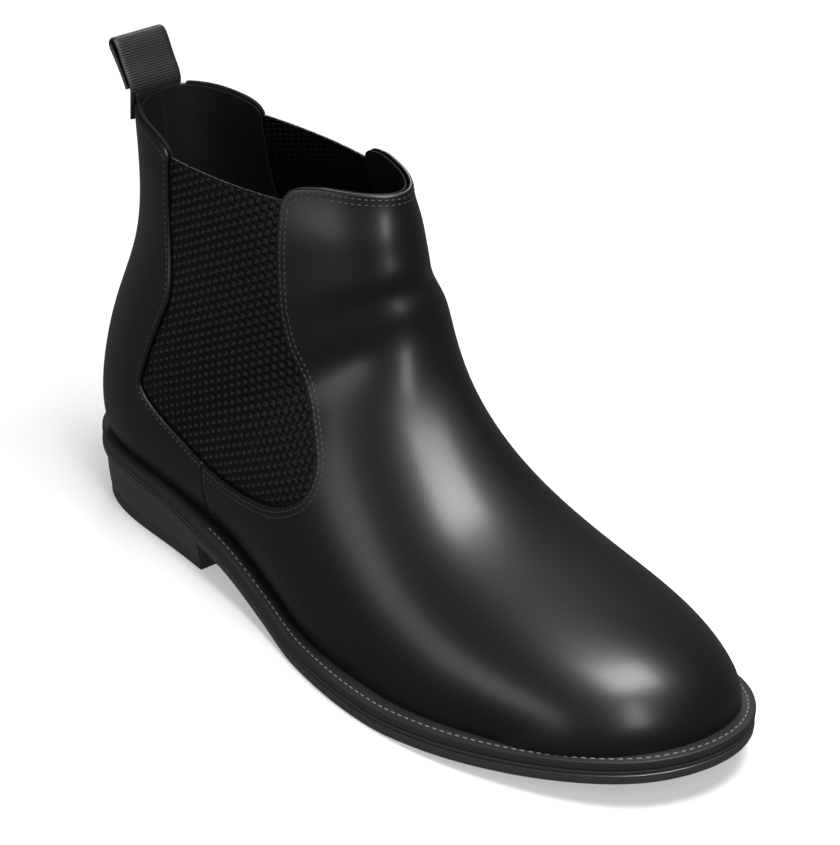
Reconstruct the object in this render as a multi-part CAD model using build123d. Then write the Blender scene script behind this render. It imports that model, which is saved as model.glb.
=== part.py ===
from build123d import *
import os
from math import cos, sin, pi, hypot

os.makedirs("parts", exist_ok=True)

# A right ankle boot with elastic side gores, on a thin welted leather sole and a low block heel.
# Millimetres. +X runs from the heel to the toe, +Y to the inner (medial) side, +Z up.
# The origin is the centre of the heel's ground face.

# Upper: thickness of each layer, counted inwards from the outside of the leather
LEATHER = 1.3
MIDDLE = 0.8
LINING = 0.8
STRIP = 0.9

# Cross-sections of the lasted shape, from the toe round the instep and the heel to the top.
# front x, front z, back x, back z, lateral half width, medial half width, share of the widest
# place (from the back), back fullness, front fullness, ridge offset, turn of the shaft
STATIONS = [
    (254.0, 12.5, 199.7, 9.2, 42.0, 43.6, 0.10, 3.0, 2.07, 5.0, 0.0),
    (253.8, 26.8, 197.9, 8.5, 43.2, 44.8, 0.13, 3.05, 2.05, 4.2, 0.0),
    (240.0, 41.2, 195.8, 6.3, 43.8, 45.4, 0.18, 3.1, 2.05, 3.2, 0.0),
    (213.0, 50.5, 191.0, 3.0, 45.8, 46.7, 0.27, 3.4, 2.10, 2.8, 0.0),
    (184.0, 58.2, 171.5, -0.9, 49.2, 47.3, 0.27, 3.55, 2.10, 3.0, 0.0),
    (160.0, 68.0, 140.5, -3.6, 49.5, 43.0, 0.31, 3.5, 2.08, 3.6, 0.0),
    (138.3, 82.4, 100.7, -1.3, 47.2, 35.4, 0.39, 2.85, 2.02, 4.2, 0.0),
    (123.5, 97.8, 48.5, 9.7, 41.6, 33.2, 0.46, 2.35, 2.04, 4.8, -0.01),
    (116.0, 112.6, -8.0, 11.6, 35.6, 36.5, 0.48, 2.5, 2.06, 5.0, -0.05),
    (112.8, 122.0, -33.0, 27.4, 36.2, 37.6, 0.45, 2.6, 2.07, 4.6, -0.10),
    (110.6, 128.3, -36.5, 55.0, 36.0, 36.2, 0.42, 2.35, 2.06, 3.6, -0.15),
    (109.2, 134.2, -32.3, 80.0, 34.0, 34.2, 0.42, 2.15, 2.04, 2.8, -0.18),
    (108.2, 140.6, -24.5, 104.3, 31.6, 32.2, 0.45, 2.1, 2.02, 2.8, -0.18),
    (107.0, 147.8, -21.6, 129.8, 29.8, 29.8, 0.46, 2.3, 1.98, 3.0, -0.18),
    (105.6, 156.6, -23.8, 155.0, 27.5, 26.5, 0.45, 2.6, 1.92, 3.2, -0.18),
    (104.5, 168.0, -28.0, 178.0, 25.5, 24.5, 0.45, 2.7, 1.90, 3.2, -0.18),
]
SECTION_POINTS = 20

# Sole: height of the outsole's lower face along the boot, flat under the tread
TREAD_BACK = 112.0
TREAD_FRONT = 156.0
SHANK_LINE = [(-60, 20.0), (-40, 19.4), (-5, 17.8), (35, 14.2), (60, 10.8), (88, 4.0), (TREAD_BACK, 0)]
SPRING_LINE = [(TREAD_FRONT, 0), (180, 1.6), (210, 4.6), (240, 8.8), (266, 12.8), (280, 15.0)]
OUTSOLE = 4.0
MIDSOLE = 1.6
WELT = 3.2
FEATHER = OUTSOLE + MIDSOLE
# Edge of the sole seen from above: lateral side forward, round the toe, medial side back
SOLE_EDGE = [
    (-37.5, 0.5), (-30.0, -18.5), (-7.0, -29.5), (22, -33), (52, -37), (84, -42.5), (117, -51), (149, -56),
    (180, -54.8), (208, -48), (234, -36.7), (253.4, -20), (261, 2.5), (256, 24), (239, 40.6), (212.5, 50),
    (180.5, 54), (150, 51), (118, 41), (85, 32), (52, 30), (22, 32.8), (-8, 32.5), (-30.5, 21),
]
WELT_GAP = 0.45
WELT_PLACES = 72
INSOLE_INSET = 19.0
INSOLE_BOARD = 2.2
SOCK = 1.0
HEEL_PAD = 3.0

# Heel
HEEL_BREAST = 42.0
HEEL_INSET = 1.5
HEEL_TAPER = 2.0
TOP_LIFT = 5.0
NAIL_R = 0.9
NAIL_LOW = 8.0
NAIL_RISE = 10.2
NAIL_PLACES = [(-13, 0), (-4, 8), (-4, -8), (16, 9), (16, -9), (34, 0)]
BRAD_R = 0.7
BRAD_LOW = 0.3
BRAD_HIGH = 9.0
BRAD_PLACES = [(-26, 12), (-26, -12), (-4, 24), (-4, -24), (24, 24), (24, -24)]

# Openings in the leather, seen from the side
GORE_SHIFT = 4.5
GORE_TUCK = 7.0
GORE_TOP_BACK = (11, 149.5)
GORE_TOP_FRONT = (67, 152)
GORE_FRONT = [(67, 147), (71.5, 119), (81.5, 95.5), (97.5, 75.5), (101.8, 66.5), (100, 58.6)]
GORE_BOTTOM = [(91, 52.0), (77, 47.6), (47, 45.6), (20.5, 53)]
GORE_BACK = [(8, 61.5), (8.6, 70), (16, 90), (19.3, 103.5), (14.2, 124)]
SEAM_TOP = (46, 45.6)
SEAM_FOOT = (50, 10)
FRONT_TOPLINE = [(66.5, 150.5), (68.2, 154.8), (72.0, 157.5), (78.5, 159.0), (90, 159.5), (140, 159.5)]
BACK_TOPLINE = [(12, 148.8), (9.5, 151.6), (4, 153.6), (-6, 154.8), (-24, 155.2), (-60, 155.6)]

# Pull tab: a webbing loop over the back of the topline, its line seen from the side
TAB_WIDTH = 23.0
TAB_THICK = 1.1
TAB_LINE = [(-25.3, 157.5), (-27.6, 161.5), (-32.2, 167.8), (-34.6, 171.2), (-34.2, 173.4), (-32.0, 173.3),
            (-29.6, 170.2), (-26.8, 165.2), (-24.0, 160.8), (-22.7, 157.5)]
TAB_LEG = 24.0
STRIP_HALF = 8.0
STRIP_FOOT = 36.0
PIPING_HIGH = 1.4
PUFF_BACK = 212.0
COUNTER_FRONT = 40.0
COUNTER_HIGH = 74.0
SHANK_BACK = 24.0
SHANK_FRONT = 114.0
SHANK_HALF = 7.0


def section(station, inset):
    """One closed cross-section, shrunk by the inset."""
    fx, fz, bx, bz, lateral, medial, share, back_full, front_full, ridge, turn = station
    reach = hypot(fx - bx, fz - bz)
    ux = (fx - bx) / reach
    uz = (fz - bz) / reach
    widest = share * reach
    points = []
    for k in range(SECTION_POINTS):
        c = cos(2 * pi * k / SECTION_POINTS)
        s = sin(2 * pi * k / SECTION_POINTS)
        power = 2 / (front_full if c < 0 else back_full)
        radius = (reach - widest if c < 0 else widest) - inset
        half = (-lateral + inset) if s >= 0 else (medial - inset)
        along = widest - (1 if c > 0 else -1) * radius * abs(c) ** power
        y = half * abs(s) ** power + ridge * (along / reach) ** 2
        points.append(Vector(bx + ux * along + turn * y, y, bz + uz * along))
    even = [k / SECTION_POINTS for k in range(SECTION_POINTS + 1)]
    return Wire([Edge.make_spline(points, periodic=True, parameters=even)])


def lasted(inset):
    """The solid inside the upper at a depth below its outer face."""
    return Solid.make_loft([section(s, inset) for s in STATIONS])


def one(shape):
    """The largest solid of a result."""
    return max(shape.solids(), key=lambda s: s.volume)


def side_prism(edges, low=-90.0, high=90.0):
    """A closed side-view outline pushed across the boot."""
    return Solid.extrude(Face(Wire(edges)), Vector(0, high - low, 0))


def side_box(x0, z0, x1, z1, low=-90.0, high=90.0):
    return Pos((x0 + x1) / 2, (low + high) / 2, (z0 + z1) / 2) * Box(x1 - x0, high - low, z1 - z0)


def grown(points, amount):
    """A closed outline moved outwards, each point square to its neighbours."""
    moved = []
    count = len(points)
    for k, (x, y) in enumerate(points):
        ax, ay = points[k - 1]
        bx, by = points[(k + 1) % count]
        length = hypot(bx - ax, by - ay)
        moved.append((x + amount * (by - ay) / length, y - amount * (bx - ax) / length))
    return moved


def plan_prism(points, z0, z1):
    """A closed plan outline pushed up."""
    edge = Edge.make_spline([Vector(x, y, z0) for x, y in points], periodic=True)
    return Solid.extrude(Face(Wire([edge])), Vector(0, 0, z1 - z0))


def sole_slab(low, high):
    """A layer that follows the sole's side profile between two heights above its lower face."""

    def line(rise):
        back = [Vector(x, -90, z + rise) for x, z in SHANK_LINE]
        front = [Vector(x, -90, z + rise) for x, z in SPRING_LINE]
        flat = Vector(1, 0, 0)
        return [
            Edge.make_spline(back, tangents=[Vector(1, 0, -0.02), flat]),
            Edge.make_line(back[-1], front[0]),
            Edge.make_spline(front, tangents=[flat, Vector(1, 0, 0.16)]),
        ]

    lower = line(low)
    upper = line(high)
    ends = [
        Edge.make_line(lower[0].start_point(), upper[0].start_point()),
        Edge.make_line(lower[-1].end_point(), upper[-1].end_point()),
    ]
    return side_prism(lower + upper + ends)


def gore_region(grow, shift, low, high, top=12.0):
    """The side opening, optionally grown all round and run out past the topline."""
    back_x, back_z = GORE_TOP_BACK
    front_x, front_z = GORE_TOP_FRONT
    loop = [(front_x, front_z)] + GORE_FRONT + GORE_BOTTOM + GORE_BACK + [(back_x, back_z)]
    count = len(loop)
    points = []
    for k in range(count):
        ax, az = loop[max(k - 1, 0)]
        bx, bz = loop[min(k + 1, count - 1)]
        length = hypot(bx - ax, bz - az)
        x = loop[k][0] + shift - grow * (bz - az) / length
        z = loop[k][1] + grow * (bx - ax) / length
        points.append(Vector(x, low, z))
    first = Vector(points[0].X, low, front_z + top)
    last = Vector(points[-1].X, low, back_z + top)
    edges = [
        Edge.make_line(first, points[0]),
        Edge.make_spline(points),
        Edge.make_line(points[-1], last),
        Edge.make_line(last, first),
    ]
    return side_prism(edges, low, high)


def front_region(shift, low, high):
    """What lies in front of the side seam and under the front topline."""
    top = [Vector(x + (shift if x < 100 else 0), low, z) for x, z in FRONT_TOPLINE]
    corner = Vector(top[0].X, low, 100)
    seam = [Vector(SEAM_TOP[0], low, 100), Vector(SEAM_TOP[0], low, SEAM_TOP[1])]
    foot = Vector(SEAM_FOOT[0], low, SEAM_FOOT[1])
    far_low = Vector(300, low, SEAM_FOOT[1])
    edges = [
        Edge.make_line(seam[0], corner),
        Edge.make_line(corner, top[0]),
        Edge.make_spline(top[:5]),
        Edge.make_line(top[4], top[5]),
        Edge.make_line(top[5], Vector(300, low, 159.6)),
        Edge.make_line(Vector(300, low, 159.6), Vector(300, low, -20)),
        Edge.make_line(Vector(300, low, -20), Vector(foot.X, low, -20)),
        Edge.make_line(Vector(foot.X, low, -20), foot),
        Edge.make_line(foot, seam[1]),
        Edge.make_line(seam[1], seam[0]),
    ]
    return side_prism(edges, low, high)


def back_region(shift, low, high, rise=0.0):
    """What lies behind the side seam and under the back topline."""
    top = [Vector(x + (shift if x > -10 else 0), low, z + rise) for x, z in BACK_TOPLINE]
    foot = Vector(SEAM_FOOT[0], low, SEAM_FOOT[1])
    seam = Vector(SEAM_TOP[0], low, SEAM_TOP[1])
    corner = Vector(top[0].X, low, 100)
    shoulder = Vector(SEAM_TOP[0], low, 100)
    edges = [
        Edge.make_line(foot, seam),
        Edge.make_line(seam, shoulder),
        Edge.make_line(shoulder, corner),
        Edge.make_line(corner, top[0]),
        Edge.make_spline(top),
        Edge.make_line(top[-1], Vector(-60, low, -20)),
        Edge.make_line(Vector(-60, low, -20), Vector(foot.X, low, -20)),
        Edge.make_line(Vector(foot.X, low, -20), foot),
    ]
    return side_prism(edges, low, high)


def under_gore_top(shift):
    """What lies under the straight top edge of the gore."""
    back = Vector(GORE_TOP_BACK[0] + shift, -90, GORE_TOP_BACK[1])
    front = Vector(GORE_TOP_FRONT[0] + shift, -90, GORE_TOP_FRONT[1])
    slope = (front.Z - back.Z) / (front.X - back.X)
    left = Vector(back.X - 40, -90, back.Z - 40 * slope)
    right = Vector(front.X + 60, -90, front.Z + 60 * slope)
    corners = [left, right, Vector(right.X, -90, -20), Vector(left.X, -90, -20)]
    edges = [Edge.make_line(corners[k - 1], corners[k]) for k in range(4)]
    return side_prism(edges)


def sole_height(x):
    """Height of the outsole's lower face."""
    line = SHANK_LINE + SPRING_LINE
    for (ax, az), (bx, bz) in zip(line, line[1:]):
        if ax <= x <= bx:
            return az + (bz - az) * (x - ax) / (bx - ax)
    return 0.0


# Shared solids
UPPER = LEATHER + MIDDLE + LINING
margin_cut = plan_prism(grown(SOLE_EDGE, -INSOLE_INSET), -10, 42)


def lasted_body(depth):
    """The lasted shape at a depth below its outer face, cut flat along the sole."""
    return one(lasted(depth) & sole_slab(FEATHER + depth, 220))


def layer(outside, within):
    """A skin between two depths with its bottom open inside the lasting margin."""
    return one(one(outside - within) - margin_cut)


body_0 = lasted_body(0)
body_1 = lasted_body(LEATHER)
body_2 = lasted_body(LEATHER + MIDDLE)
body_3 = lasted_body(UPPER)
leather = layer(body_0, body_1)
middle = layer(body_1, body_2)
lining = layer(body_2, body_3)

LATERAL = (GORE_SHIFT, -90.0, 0.0)
MEDIAL = (-GORE_SHIFT, 0.0, 90.0)
front = front_region(*LATERAL).fuse(front_region(*MEDIAL))
back_lateral = back_region(*LATERAL)
back_medial = back_region(*MEDIAL)
back = back_lateral.fuse(back_medial)
opening_lateral = gore_region(0, *LATERAL)
opening_medial = gore_region(0, *MEDIAL)

# Leather pieces
vamp = one((leather & front) - opening_lateral - opening_medial)
quarter_lateral = one((leather & back_lateral) - opening_lateral)
quarter_medial = one((leather & back_medial) - opening_medial)

# Elastic gores, tucked under the leather all round but the top
tuck_lateral = gore_region(GORE_TUCK, *LATERAL)
tuck_medial = gore_region(GORE_TUCK, *MEDIAL)
gore_lateral = one(middle & tuck_lateral & under_gore_top(GORE_SHIFT))
gore_medial = one(middle & tuck_medial & under_gore_top(-GORE_SHIFT))

# Stiffeners and interlinings between leather and lining
half = TAB_WIDTH / 2
tab_leg_box = side_box(-70, BACK_TOPLINE[4][1] - TAB_LEG, 0, 200, -half, half)
between = middle - tuck_lateral - tuck_medial
toe_puff = one(between & side_box(PUFF_BACK, -20, 300, 100))
heel_counter = one(between & back & side_box(-90, -20, COUNTER_FRONT, COUNTER_HIGH))
vamp_interlining = one((between & front) - side_box(PUFF_BACK, -20, 300, 100))
above_counter = (between & back) - side_box(-90, -20, COUNTER_FRONT, COUNTER_HIGH) - tab_leg_box
quarter_interlining_lateral = one(above_counter & side_box(-90, -20, 60, 200, -90, 0))
quarter_interlining_medial = one(above_counter & side_box(-90, -20, 60, 200, 0, 90))
pull_tab_inner_leg = one(between & back & tab_leg_box)

# Lining
vamp_lining = one((lining & front) - opening_lateral - opening_medial)
back_lining = one((lining & back) - opening_lateral - opening_medial)

# Back strip over the back seam, and the piping along the back topline
strip_box = side_box(-70, STRIP_FOOT, 0, 200, -STRIP_HALF, STRIP_HALF)
shape = lasted(0)
strip_block = one(lasted(-STRIP) & strip_box)
back_strip = one(one(strip_block & back_region(0, -90, 90, -0.8)) - shape)


def piping(shift, low, high, opening, near, far):
    """The bead between leather and lining along one side of the back topline."""
    band = back_region(shift, low, high, PIPING_HIGH) & side_box(-70, 120, 60, 200, near, far)
    band = one(one(band) - back_region(shift, low, high))
    band = one(lasted(0.6) & band)
    return one(one(band - lasted(UPPER - 0.4)) - opening)


collar_piping_lateral = piping(*LATERAL, opening_lateral, -90, -half - 0.3)
collar_piping_medial = piping(*MEDIAL, opening_medial, half + 0.3, 90)


def tab_loop():
    """The free webbing loop, swept across its width."""
    outside = []
    within = []
    count = len(TAB_LINE)
    for k, (x, z) in enumerate(TAB_LINE):
        ax, az = TAB_LINE[max(k - 1, 0)]
        bx, bz = TAB_LINE[min(k + 1, count - 1)]
        length = hypot(bx - ax, bz - az)
        nx = -(bz - az) / length * TAB_THICK / 2
        nz = (bx - ax) / length * TAB_THICK / 2
        outside.append(Vector(x + nx, -half, z + nz))
        within.append(Vector(x - nx, -half, z - nz))
    edges = [
        Edge.make_spline(outside),
        Edge.make_line(outside[-1], within[-1]),
        Edge.make_spline(within),
        Edge.make_line(within[0], outside[0]),
    ]
    return side_prism(edges, -half, half)


pull_tab = tab_loop()

# Inside the boot
insole_board = one(sole_slab(FEATHER + UPPER, FEATHER + UPPER + INSOLE_BOARD) & body_3)
sock_low = FEATHER + UPPER + INSOLE_BOARD
sock_liner = one(sole_slab(sock_low, sock_low + SOCK) & body_3)
pad_plan = plan_prism([(-26, 0), (-20, -14), (0, -20), (24, -19), (38, -12), (43, 0), (38, 12), (24, 19),
                       (0, 20), (-20, 14)], 0, 60)
heel_pad = one(sole_slab(sock_low + SOCK, sock_low + SOCK + HEEL_PAD) & pad_plan)
filler_slab = sole_slab(FEATHER, FEATHER + UPPER)
cork_filler = one(filler_slab & plan_prism(grown(SOLE_EDGE, -INSOLE_INSET), -10, 42))
shank_slab = sole_slab(FEATHER + 0.5, FEATHER + 1.9)
shank = one(shank_slab & side_box(SHANK_BACK, -10, SHANK_FRONT, 60, -SHANK_HALF, SHANK_HALF))
cork_filler = one(cork_filler - shank)



def welt_inside():
    """The welt's inner edge, just clear of the upper, measured at places round the sole's edge."""
    edge = Edge.make_spline([Vector(x, y, 0) for x, y in SOLE_EDGE], periodic=True)
    points = []
    for k in range(WELT_PLACES):
        place = edge.position_at(k / WELT_PLACES)
        tangent = edge.tangent_at(k / WELT_PLACES)
        inward = Vector(-tangent.Y, tangent.X, 0)
        reaches = []
        for rise in (0.4, WELT / 2, WELT):
            start = Vector(place.X, place.Y, sole_height(place.X) + FEATHER + rise)
            hits = body_0.find_intersection_points(Axis(start, inward))
            reaches += [(point - start).dot(inward) for point, _ in hits]
        ledge = min(reach for reach in reaches if reach > 0)
        point = place + inward * (ledge - WELT_GAP)
        points.append((point.X, point.Y))
    return points


# Sole
edge_prism = plan_prism(SOLE_EDGE, -10, 60)
welt = one(one(sole_slab(FEATHER, FEATHER + WELT) & edge_prism) - plan_prism(welt_inside(), -10, 60))
midsole = one(sole_slab(OUTSOLE, FEATHER) & edge_prism)
outsole = one(sole_slab(0, OUTSOLE) & edge_prism)


def heel():
    """The tapered heel under the outsole, cut square at the breast."""
    low = [Vector(x, y, 0) for x, y in grown(SOLE_EDGE, -HEEL_INSET - HEEL_TAPER)]
    high = [Vector(x, y, 24) for x, y in grown(SOLE_EDGE, -HEEL_INSET)]
    wires = [Wire([Edge.make_spline(points, periodic=True)]) for points in (low, high)]
    solid = Solid.make_loft(wires, True)
    return one((solid & side_box(-90, -10, HEEL_BREAST, 60)) - sole_slab(0, 60))


whole_heel = heel()
heel_top_lift = one(whole_heel & side_box(-90, -10, 90, TOP_LIFT))
heel_block = one(whole_heel - side_box(-90, -10, 90, TOP_LIFT))


def pin(x, y, low, high, radius):
    return Pos(x, y, (low + high) / 2) * Cylinder(radius, high - low)


nails = [pin(x, y, NAIL_LOW, sole_height(x) + NAIL_RISE, NAIL_R) for x, y in NAIL_PLACES]
for nail in nails:
    insole_board = one(insole_board - nail)
    cork_filler = one(cork_filler - nail)
    shank = one(shank - nail)
    midsole = one(midsole - nail)
    outsole = one(outsole - nail)
    heel_block = one(heel_block - nail)
brads = [pin(x, y, BRAD_LOW, BRAD_HIGH, BRAD_R) for x, y in BRAD_PLACES]
for x, y in BRAD_PLACES:
    hole = pin(x, y, -1, BRAD_HIGH, BRAD_R)
    heel_top_lift = one(heel_top_lift - hole)
    heel_block = one(heel_block - hole)
heel_nails = Compound([n.solid() for n in nails])
top_lift_brads = Compound([b.solid() for b in brads])

PARTS = {
    "vamp": vamp,
    "quarter_lateral": quarter_lateral,
    "quarter_medial": quarter_medial,
    "gore_lateral": gore_lateral,
    "gore_medial": gore_medial,
    "toe_puff": toe_puff,
    "heel_counter": heel_counter,
    "vamp_interlining": vamp_interlining,
    "quarter_interlining_lateral": quarter_interlining_lateral,
    "quarter_interlining_medial": quarter_interlining_medial,
    "vamp_lining": vamp_lining,
    "back_lining": back_lining,
    "back_strip": back_strip,
    "collar_piping_lateral": collar_piping_lateral,
    "collar_piping_medial": collar_piping_medial,
    "pull_tab": pull_tab,
    "pull_tab_inner_leg": pull_tab_inner_leg,
    "insole_board": insole_board,
    "sock_liner": sock_liner,
    "heel_pad": heel_pad,
    "cork_filler": cork_filler,
    "shank": shank,
    "welt": welt,
    "midsole": midsole,
    "outsole": outsole,
    "heel_block": heel_block,
    "heel_top_lift": heel_top_lift,
    "heel_nails": heel_nails,
    "top_lift_brads": top_lift_brads,
}
for name, shape in PARTS.items():
    box = shape.bounding_box()
    size = " ".join(f"{v:.1f}" for v in (box.min.X, box.max.X, box.min.Y, box.max.Y, box.min.Z, box.max.Z))
    print(f"{name:30s} {shape.volume:10.0f}  {size}  {shape.is_valid}")
    export_step(shape, f"parts/{name}.step")
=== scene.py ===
import math

import bmesh
import bpy
import numpy as np
from mathutils import Matrix, Vector
from mathutils.geometry import delaunay_2d_cdt
from mathutils.kdtree import KDTree


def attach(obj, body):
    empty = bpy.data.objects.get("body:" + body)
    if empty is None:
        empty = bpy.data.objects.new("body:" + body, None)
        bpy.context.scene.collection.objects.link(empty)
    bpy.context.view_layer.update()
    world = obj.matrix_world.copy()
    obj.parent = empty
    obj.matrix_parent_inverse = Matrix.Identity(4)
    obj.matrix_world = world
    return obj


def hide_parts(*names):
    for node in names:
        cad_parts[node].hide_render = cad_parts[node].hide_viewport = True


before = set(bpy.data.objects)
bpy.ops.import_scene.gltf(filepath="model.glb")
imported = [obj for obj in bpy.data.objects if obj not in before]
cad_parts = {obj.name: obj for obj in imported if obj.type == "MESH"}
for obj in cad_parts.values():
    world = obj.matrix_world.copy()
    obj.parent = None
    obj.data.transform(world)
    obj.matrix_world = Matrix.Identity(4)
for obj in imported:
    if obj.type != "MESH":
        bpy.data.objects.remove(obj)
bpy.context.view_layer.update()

# Millimetres until a mesh is made. +X to the toe, +Y to the inner side, +Z up.
MM = 0.001
LEATHER = 1.3
MIDDLE = 0.8
LINING = 0.8
UPPER = LEATHER + MIDDLE + LINING

# Cross-sections of the lasted shape: front x, front z, back x, back z, lateral and medial half widths,
# share of the widest place, back and front fullness, ridge, turn. From the instep up the front stands
# a few millimetres further forward than the CAD part's.
STATIONS = np.array([
    (254.0, 12.5, 199.7, 9.2, 42.0, 43.6, 0.10, 3.0, 2.07, 5.0, 0.0),
    (253.8, 26.8, 197.9, 8.5, 43.2, 44.8, 0.13, 3.05, 2.05, 4.2, 0.0),
    (240.0, 41.2, 195.8, 6.3, 43.8, 45.4, 0.18, 3.1, 2.05, 3.2, 0.0),
    (213.0, 50.5, 191.0, 3.0, 45.8, 46.7, 0.27, 3.4, 2.10, 2.8, 0.0),
    (184.0, 58.2, 171.5, -0.9, 49.2, 47.3, 0.27, 3.55, 2.10, 3.0, 0.0),
    (160.0, 68.0, 140.5, -3.6, 49.5, 43.0, 0.31, 3.5, 2.08, 3.6, 0.0),
    (140.6, 82.8, 100.7, -1.3, 47.2, 35.4, 0.39, 2.85, 2.02, 4.2, 0.0),
    (126.3, 97.8, 48.5, 9.7, 41.6, 33.2, 0.46, 2.35, 2.04, 4.8, -0.01),
    (119.0, 112.6, -8.0, 11.6, 35.6, 36.5, 0.48, 2.5, 2.06, 5.0, -0.05),
    (116.4, 122.0, -33.0, 27.4, 36.2, 37.6, 0.45, 2.6, 2.07, 4.6, -0.10),
    (113.2, 128.3, -36.5, 55.0, 36.0, 36.2, 0.42, 2.35, 2.06, 3.6, -0.15),
    (112.6, 134.2, -32.3, 80.0, 34.0, 34.2, 0.42, 2.15, 2.04, 2.8, -0.18),
    (110.6, 140.6, -24.5, 104.3, 31.6, 32.2, 0.45, 2.1, 2.02, 2.8, -0.18),
    (108.4, 147.8, -21.6, 129.8, 29.8, 29.8, 0.46, 2.3, 1.98, 3.0, -0.18),
    (105.6, 156.6, -23.8, 155.0, 27.5, 26.5, 0.45, 2.6, 1.92, 3.2, -0.18),
    (104.5, 168.0, -28.0, 178.0, 25.5, 24.5, 0.45, 2.7, 1.90, 3.2, -0.18),
])
LAST = len(STATIONS) - 1

# Sole
SIDE_LINE = np.array([(-60, 20.0), (-40, 19.4), (-5, 17.8), (35, 14.2), (60, 10.8), (88, 4.0), (112, 0),
                      (156, 0), (180, 1.6), (210, 4.6), (240, 8.8), (266, 12.8), (280, 15.0)])
OUTSOLE = 4.0
MIDSOLE = 1.6
WELT = 3.2
FEATHER = OUTSOLE + MIDSOLE
SOLE_EDGE = np.array([
    (-37.5, 0.5), (-30.0, -18.5), (-7.0, -29.5), (22, -33), (52, -37), (84, -42.5), (117, -51), (149, -56),
    (180, -54.8), (208, -48), (234, -36.7), (253.4, -20), (261, 2.5), (256, 24), (239, 40.6), (212.5, 50),
    (180.5, 54), (150, 51), (118, 41), (85, 32), (52, 30), (22, 32.8), (-8, 32.5), (-30.5, 21)])
LEDGE = 7.2
HEEL_BREAST = 42.0
HEEL_INSET = 1.5
HEEL_TAPER = 2.0
TOP_LIFT = 5.0

# Side openings and toplines in the side view, before the shift of each side
GORE_SHIFT = 4.5
GORE_TOP_BACK = (11, 149.5)
GORE_TOP_FRONT = (67, 152)
GORE_FRONT = [(67, 147), (71.5, 119), (81.5, 95.5), (97.5, 75.5), (101.8, 66.5), (100, 58.6)]
GORE_BOTTOM = [(91, 52.0), (77, 47.6), (47, 45.6), (20.5, 53)]
GORE_BACK = [(8, 61.5), (8.6, 70), (16, 90), (19.3, 103.5), (14.2, 124)]
SEAM_TOP = (46, 45.6)
SEAM_FOOT = (50, 10)
FRONT_TOPLINE = np.array([
    (66.5, 150.5), (68.2, 154.8), (72.0, 157.5), (78.5, 159.0), (90, 159.5), (140, 159.5)])
BACK_TOPLINE = np.array([(12, 148.8), (9.5, 151.6), (4, 153.6), (-6, 154.8), (-24, 155.2), (-60, 155.6)])

# Making: the chart scales of (station, place round the section) and the steps of its inner grid
CHART = np.array([12.0, 220.0])
GRID_ROW = 0.13
GRID_COLUMN = 0.0085
PITCH = 1.1
RINGS = (0.0, 0.35, 0.8, 1.4, 2.1, 3.0)
RING_CLEAR = 0.8
LINING_FOLD = 0.4

# Stitches: pitch along the row, length, thread radius and how far they sink
STITCH = (2.3, 1.75, 0.24, 0.05)
GORE_ROWS = (1.7, 3.6)
QUARTER_ROW = 1.7
SEAM_ROW = 1.6
COLLAR_ROW = 2.6
WELT_STITCH_INSET = 2.6
WELT_STITCH_PITCH = 3.0
WELT_STITCH = (2.2, 0.3, 0.06)
WELT_STITCH_BACK = 46.0

# Elastic
GORE_TUCK = 5.0
CHAIN_PITCH = 3.0
BUMP_PITCH = 3.2
BUMP_HEIGHT = 1.0
GORE_STEP = 0.42
GORE_COLUMNS = 180
GORE_LOW = 38.0
GORE_HIGH = 152.4
GORE_STRAIGHT = 147.0

# ---------------------------------------------------------------- curves


def natural_spline(points):
    """Coefficients of a natural cubic through rows of points at 0, 1, 2 ..."""
    p = np.asarray(points, float)
    n = len(p)
    a = np.eye(n) * 4
    a[0, 0] = a[-1, -1] = 1
    right = np.zeros_like(p)
    for k in range(1, n - 1):
        a[k, k - 1] = a[k, k + 1] = 1
        right[k] = 6 * (p[k + 1] - 2 * p[k] + p[k - 1])
    return p, np.linalg.solve(a, right)


def ring_spline(points):
    """The same for a closed ring of points."""
    p = np.asarray(points, float)
    n = len(p)
    a = np.eye(n) * 4
    right = np.zeros_like(p)
    for k in range(n):
        a[k, k - 1] += 1
        a[k, (k + 1) % n] += 1
        right[k] = 6 * (p[(k + 1) % n] - 2 * p[k] + p[k - 1])
    m = np.linalg.solve(a, right)
    return np.vstack([p, p[:1]]), np.vstack([m, m[:1]])


def along(curve, u):
    """Points of a cubic at places u."""
    p, m = curve
    u = np.clip(np.asarray(u, float), 0, len(p) - 1)
    k = np.minimum(u.astype(int), len(p) - 2)
    w = (u - k)[..., None]
    v = 1 - w
    return v * p[k] + w * p[k + 1] + ((v**3 - v) * m[k] + (w**3 - w) * m[k + 1]) / 6


def smooth_line(points):
    """A monotone-looking height line z(x) through points."""
    x, z = points[:, 0], points[:, 1]
    h = np.diff(x)
    d = np.diff(z) / h
    m = np.zeros(len(x))
    same = d[:-1] * d[1:] > 0
    w1 = 2 * h[1:] + h[:-1]
    w2 = h[1:] + 2 * h[:-1]
    safe = np.where(same, 1, 0)
    m[1:-1] = safe * (w1 + w2) / (w1 / np.where(same, d[:-1], 1) + w2 / np.where(same, d[1:], 1))
    m[0], m[-1] = d[0], d[-1]

    def height(q):
        q = np.clip(q, x[0], x[-1])
        k = np.clip(np.searchsorted(x, q) - 1, 0, len(h) - 1)
        t = (q - x[k]) / h[k]
        return ((1 + 2 * t) * (1 - t)**2 * z[k] + t * (1 - t)**2 * h[k] * m[k]
                + t * t * (3 - 2 * t) * z[k + 1] + t * t * (t - 1) * h[k] * m[k + 1])

    return height


sole_z = smooth_line(SIDE_LINE)
SECTIONS = natural_spline(STATIONS)


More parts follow.
